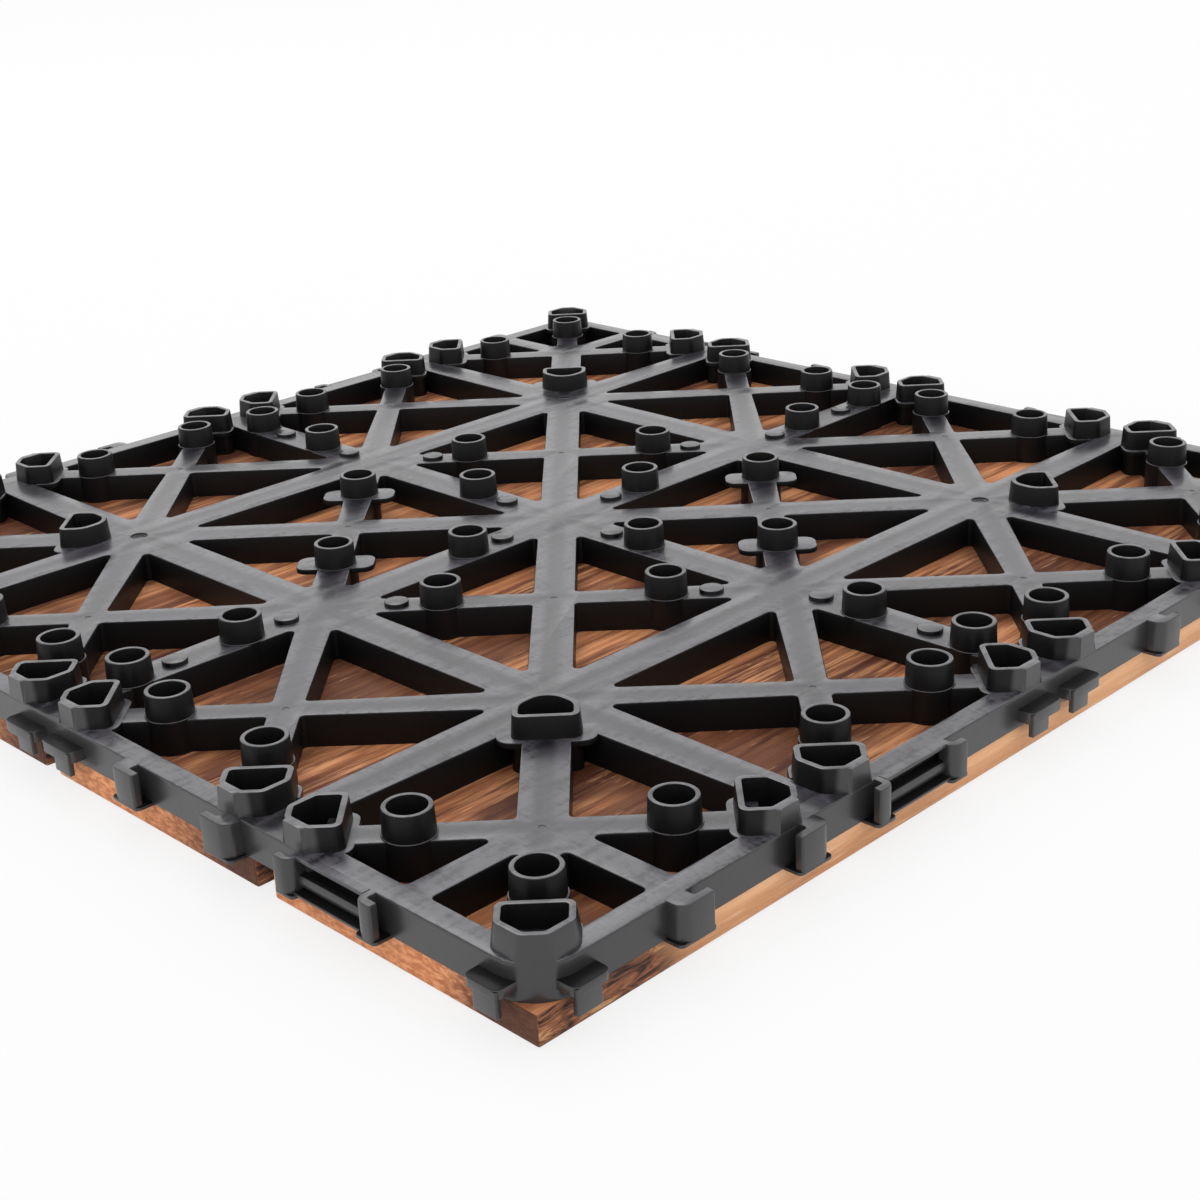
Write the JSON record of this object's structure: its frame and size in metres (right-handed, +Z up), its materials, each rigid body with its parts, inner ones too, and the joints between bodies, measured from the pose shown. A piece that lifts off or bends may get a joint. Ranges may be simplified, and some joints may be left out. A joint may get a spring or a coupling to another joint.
{
  "type": "interlocking deck tile",
  "caption": "Square interlocking deck tile lying on its walking face: wooden slats screwed under a moulded plastic base grid with round and D-shaped feet and hooks along its sides.",
  "frame": {"origin": "middle of the walking face, on which the tile lies", "axes": "+Z up through the base grid to the feet, +X along the slats"},
  "size_m": [0.2996, 0.2996, 0.019],
  "materials": {
    "grid_plastic": "matte dark grey moulded plastic",
    "slat_wood": "oiled hardwood with dark burnt patches",
    "screw_steel": "plain zinc-plated steel"
  },
  "bodies": {
    "root": {"base_grid": "grid_plastic", "slat_1": "slat_wood", "slat_2": "slat_wood", "slat_3": "slat_wood", "slat_4": "slat_wood", "slat_screws": "screw_steel"}
  },
  "joints": []
}
